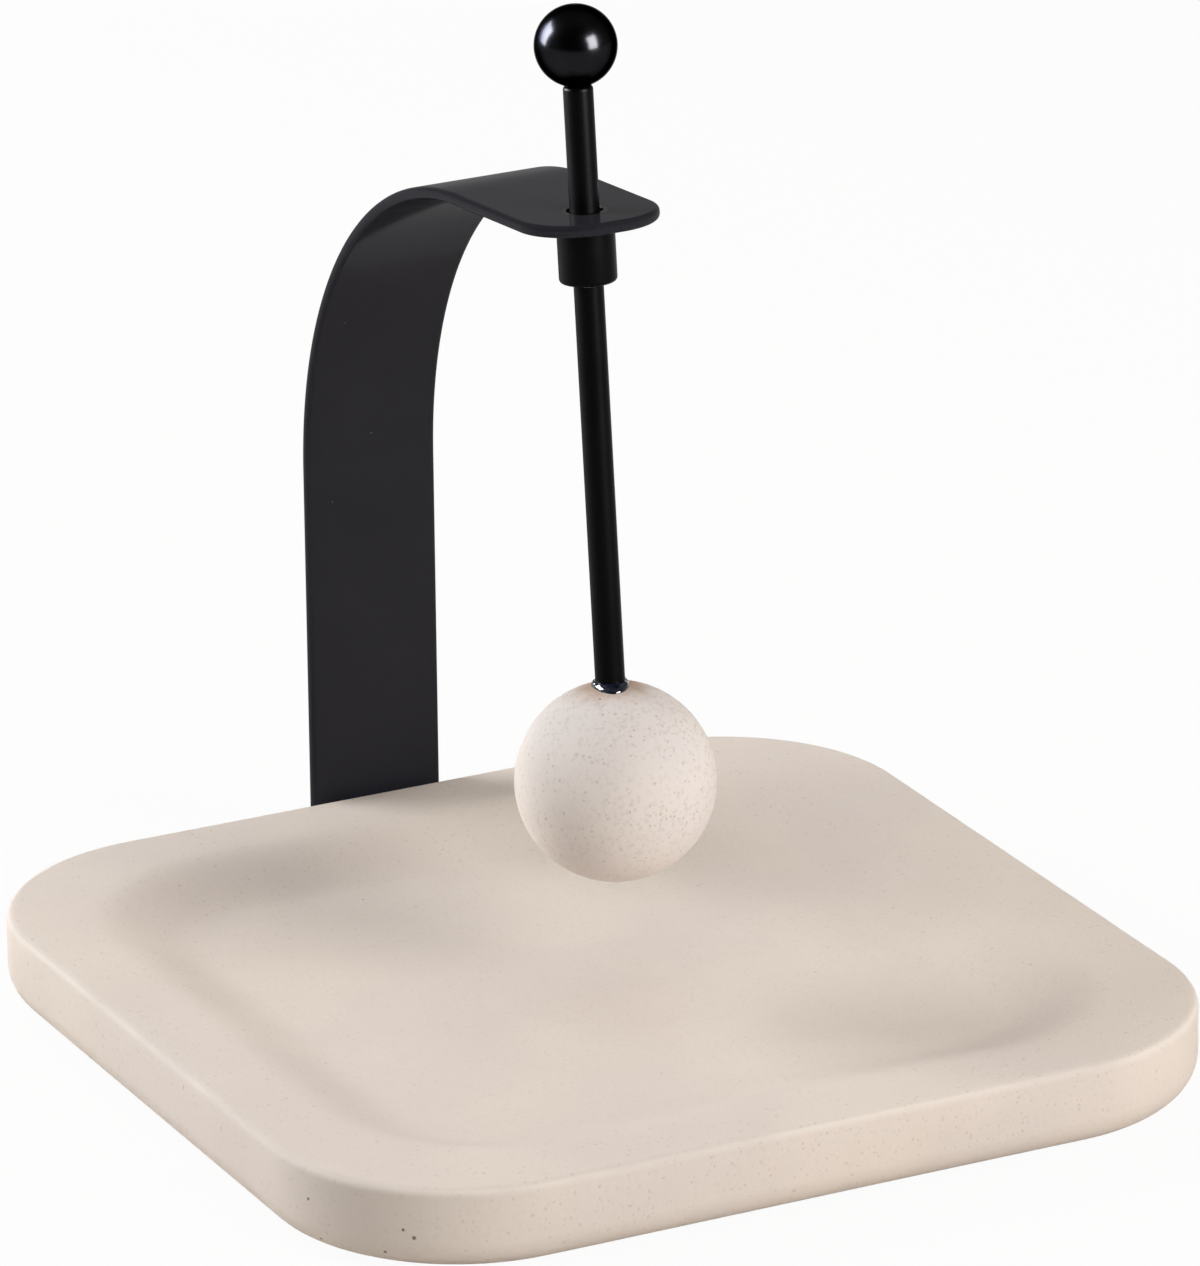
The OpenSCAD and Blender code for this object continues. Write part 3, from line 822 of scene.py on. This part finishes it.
knob = {"r": 8.245, "middle": 33, "seatR": 2.5, "boreR": 2.05, "boreTop": 32.18, "steps": 72}
seatAngle = math.asin(knob["seatR"] / knob["r"])
knobLine = [Vector((0, knob["boreTop"])), Vector((knob["boreR"], knob["boreTop"])),
            Vector((knob["boreR"], rod["seat"]))]
for i in range(knob["steps"] + 1):
    a = seatAngle + (math.pi - seatAngle) * i / knob["steps"]
    r = knob["r"] * math.sin(a) if i < knob["steps"] else 0
    knobLine.append(Vector((r, knob["middle"] - knob["r"] * math.cos(a))))
knobObject = newObject("knob_gloss", turnOutline(knobLine, segments=128))
smooth(knobObject)
settle(knobObject, knobLacquer, "plunger", "black_gloss", "knob")

ball = {"r": 20.25, "middle": -117, "socketR": 3.3, "socketEnd": -112.75, "mouth": 0.35, "steps": 96,
        "lipOut": 0.1, "lipDrop": 0.08, "throat": 0.4, "uneven": 0.06, "wave": 0.09}
mouth = math.asin((ball["socketR"] + ball["mouth"]) / ball["r"])
ballLine = [Vector((0, ball["middle"] - ball["r"]))]
for i in range(1, ball["steps"] + 1):
    a = math.pi - (math.pi - mouth) * i / ball["steps"]
    ballLine.append(Vector((ball["r"] * math.sin(a), ball["middle"] + ball["r"] * math.cos(a))))
lip = ballLine[-1].y
ballLine += [Vector((ball["socketR"] + ball["lipOut"], lip - ball["lipDrop"])),
             Vector((ball["socketR"], lip - ball["throat"])),
             Vector((ball["socketR"], ball["socketEnd"])), Vector((0, ball["socketEnd"]))]


def ballWave(a, r, h):
    # Hand-rubbed, so slightly off round, and only inwards
    if h > lip - 0.01 or h < ball["middle"] - ball["r"] + 0.01:
        return 0, 0
    place = Vector((r * math.cos(a), r * math.sin(a), h))
    wave = (noise.noise(place * ball["wave"]) - 1) / 2 * ball["uneven"]
    return wave * r / ball["r"], wave * (h - ball["middle"]) / ball["r"]


ballObject = newObject("ball_weight_stone", turnOutline(ballLine, segments=160, uneven=ballWave))
smooth(ballObject)
settle(ballObject, ballStone, "plunger", "speckled_stone", "ball_weight")

# Lumps and lifts each hold waves per turn, phase and share
glue = {"rodR": 3.03, "r": 3.72, "thick": 0.95, "sink": 0.2, "socketR": 3.25, "low": -102.75, "steps": 16,
        "bulge": 0.7, "runAt": math.radians(254), "runWide": 0.75, "run": 1.7, "lumpDepth": 0.09,
        "lumps": [(3, 0.6, 0.5), (7, 2.0, 0.3), (12, 0.0, 0.2)], "lifts": [(5, 1.0, 0.1), (11, 0.0, 0.06)]}


def ballSkin(r):
    return ball["middle"] + math.sqrt(ball["r"] ** 2 - r * r)


glueLine = [Vector((glue["rodR"], glue["low"])), Vector((glue["socketR"], glue["low"])),
            Vector((glue["socketR"], ballSkin(glue["socketR"]) - glue["sink"])),
            Vector((glue["r"], ballSkin(glue["r"]) - glue["sink"]))]
for i in range(1, glue["steps"] + 1):
    a = math.pi / 2 * i / glue["steps"]
    reach = math.cos(a) ** glue["bulge"] if i < glue["steps"] else 0
    r = glue["rodR"] + (glue["r"] - glue["rodR"]) * reach
    glueLine.append(Vector((r, ballSkin(r) + glue["thick"] * math.sin(a))))


def ripples(waves, a):
    return sum(share * math.sin(count * a + phase) for count, phase, share in waves)


def glueWave(a, r, h):
    # The bead was pushed round by hand: it is lumpy, and some of it ran down the front of the ball
    share = max(0, min(1, (r - glue["rodR"]) / (glue["r"] - glue["rodR"])))
    if h < ballSkin(glue["socketR"]) - glue["sink"] - 0.1 or r < glue["rodR"] + 0.01:
        return 0, 0
    off = math.remainder(a - glue["runAt"], 2 * math.pi) / glue["runWide"]
    dr = share * (glue["run"] * math.exp(-off * off) + glue["lumpDepth"] * ripples(glue["lumps"], a))
    return dr, ballSkin(r + dr) - ballSkin(r) + ripples(glue["lifts"], a) * 4 * share * (1 - share)


glueObject = newObject("glue_bead", turnOutline(
    glueLine, segments=144, closed=True, uneven=glueWave))
smooth(glueObject, angle=50)
settle(glueObject, setGlue, "plunger", "set_glue", "glue_ring")
print("turned pieces built")


# Floor, light and camera

stage = {
    "floorR": 14.0, "floor": srgb(216, 212, 205), "white": 0.95, "target": (0, 0, 0.09),
    "dome": 0.25, "frontDome": 0.04, "rearDome": 0.5, "front": (-0.42, -0.84, 0.35),
}


def buildFloor():
    bm = bmesh.new()
    bmesh.ops.create_circle(bm, cap_ends=True, segments=64, radius=stage["floorR"])
    floor = newObject("floor", bm)
    material, tree, bsdf, where = newMaterial("paleFloor", Roughness=0.9, Specular_IOR_Level=0.1)
    shade = ramp(tree, noiseAt(tree, where, 3.0), 0.3, 0.7, 0.995, 1.0)
    shade = put(tree, "ShaderNodeCombineColor", {0: shade, 1: shade, 2: shade}).outputs[0]
    tree.links.new(mixColour(tree, 1.0, stage["floor"], shade, "MULTIPLY"), bsdf.inputs["Base Color"])
    # Seen by the camera or in a reflection, the floor turns most of the way to white but keeps its shadow
    rays = put(tree, "ShaderNodeLightPath").outputs
    seen = math2(tree, "MAXIMUM", rays["Is Camera Ray"], rays["Is Glossy Ray"])
    seen = math2(tree, "MAXIMUM", seen, rays["Is Transmission Ray"])
    white = put(tree, "ShaderNodeEmission", {"Color": (1, 1, 1, 1), "Strength": 1.0})
    mixed = put(tree, "ShaderNodeMixShader", {
        0: math2(tree, "MULTIPLY", seen, stage["white"]), 1: bsdf.outputs[0], 2: white.outputs[0]})
    tree.links.new(mixed.outputs[0], tree.nodes["Material Output"].inputs["Surface"])
    floor.data.materials.append(material)


def buildDome():
    # A pale room, darker on the side where the lights are off and lighter at the rear
    world = bpy.data.worlds.new("studio")
    scene.world = world
    world.use_nodes = True
    tree = world.node_tree
    where = put(tree, "ShaderNodeTexCoord").outputs["Generated"]
    facing = vector2(tree, "DOT_PRODUCT", where, stage["front"], "Value")
    strength = math2(tree, "ADD", ramp(tree, facing, 0.35, 0.9, stage["dome"], stage["frontDome"]),
                     ramp(tree, facing, -0.55, -0.85, 0.0, stage["rearDome"]))
    tree.links.new(strength, tree.nodes["Background"].inputs["Strength"])
    tree.nodes["Background"].inputs["Color"].default_value = (1.0, 0.985, 0.96, 1)


def softbox(name, direction, distance, size, power, colour, diffuse=True, glossy=True):
    lamp = bpy.data.lights.new(name, "AREA")
    lamp.shape = "RECTANGLE"
    lamp.size, lamp.size_y = size
    lamp.energy = power
    lamp.color = colour
    obj = bpy.data.objects.new(name, lamp)
    away = Vector(direction).normalized()
    obj.location = Vector(stage["target"]) + away * distance
    obj.rotation_euler = away.to_track_quat("Z", "Y").to_euler()
    obj.visible_diffuse = diffuse
    obj.visible_glossy = glossy
    scene.collection.objects.link(obj)
    return obj


# Each soft box has a second lamp just in front of it that is seen only in reflections, with its own power
boxes = [
    {"name": "rearLeftBox", "direction": (-0.66, 0.65, 0.38), "distance": 1.3, "size": (0.75, 0.8),
     "power": 15.3, "sheen": 150.0, "colour": (0.93, 0.96, 1.01)},
    {"name": "frontRightBox", "direction": (0.37, -0.84, 0.39), "distance": 1.4, "size": (0.6, 0.75),
     "power": 13.6, "sheen": 82.0, "colour": (1.0, 0.99, 0.99)},
]
sheenAhead = 0.03

buildFloor()
buildDome()
# The flat strip is shielded from the sheen lamps, or its flange would mirror them whole
flagged = bpy.data.collections.new("flaggedOff")
flagged.objects.link(stripObject)
flagged.collection_objects[0].light_linking.link_state = "EXCLUDE"
for box in boxes:
    place = box["direction"], box["distance"], box["size"]
    softbox(box["name"], *place, box["power"], box["colour"], glossy=False)
    place = box["direction"], box["distance"] - sheenAhead, box["size"]
    sheenBox = softbox(box["name"] + "Sheen", *place, box["sheen"], box["colour"], diffuse=False)
    sheenBox.light_linking.receiver_collection = flagged
softbox("ceilingFill", direction=(0, 0, 1), distance=1.8, size=(2.0, 2.0), power=8.0,
        colour=(1.0, 0.98, 0.95), glossy=False)

# Angles in degrees, places in mm; the aim is the middle of the tray's underside
view = {
    "turn": -26.61, "tilt": 20.49, "roll": -0.62, "shiftX": -0.81, "shiftY": -80.59, "distance": 2022.67,
    "focal": 10000, "imageHeight": 1266, "aim": (0, -2, 1),
}


def buildCamera():
    turn, tilt, roll = (math.radians(view[k]) for k in ("turn", "tilt", "roll"))
    back = Vector((math.sin(turn) * math.cos(tilt), -math.cos(turn) * math.cos(tilt), math.sin(tilt)))
    right = Vector((math.cos(turn), math.sin(turn), 0))
    up = back.cross(right)
    across = math.cos(roll) * right + math.sin(roll) * up
    upright = -math.sin(roll) * right + math.cos(roll) * up
    data = bpy.data.cameras.new("camera")
    data.sensor_width = 36
    data.lens = data.sensor_width * view["focal"] / view["imageHeight"]
    data.clip_end = 100
    camera = bpy.data.objects.new("camera", data)
    place = back * view["distance"] - across * view["shiftX"] - upright * view["shiftY"] + Vector(view["aim"])
    facing = Matrix((across, upright, back)).transposed()
    camera.matrix_world = Matrix.Translation(place * mm) @ facing.to_4x4()
    scene.collection.objects.link(camera)
    scene.camera = camera


buildCamera()
scene.view_settings.view_transform = "Standard"
print("stage, light and camera set")
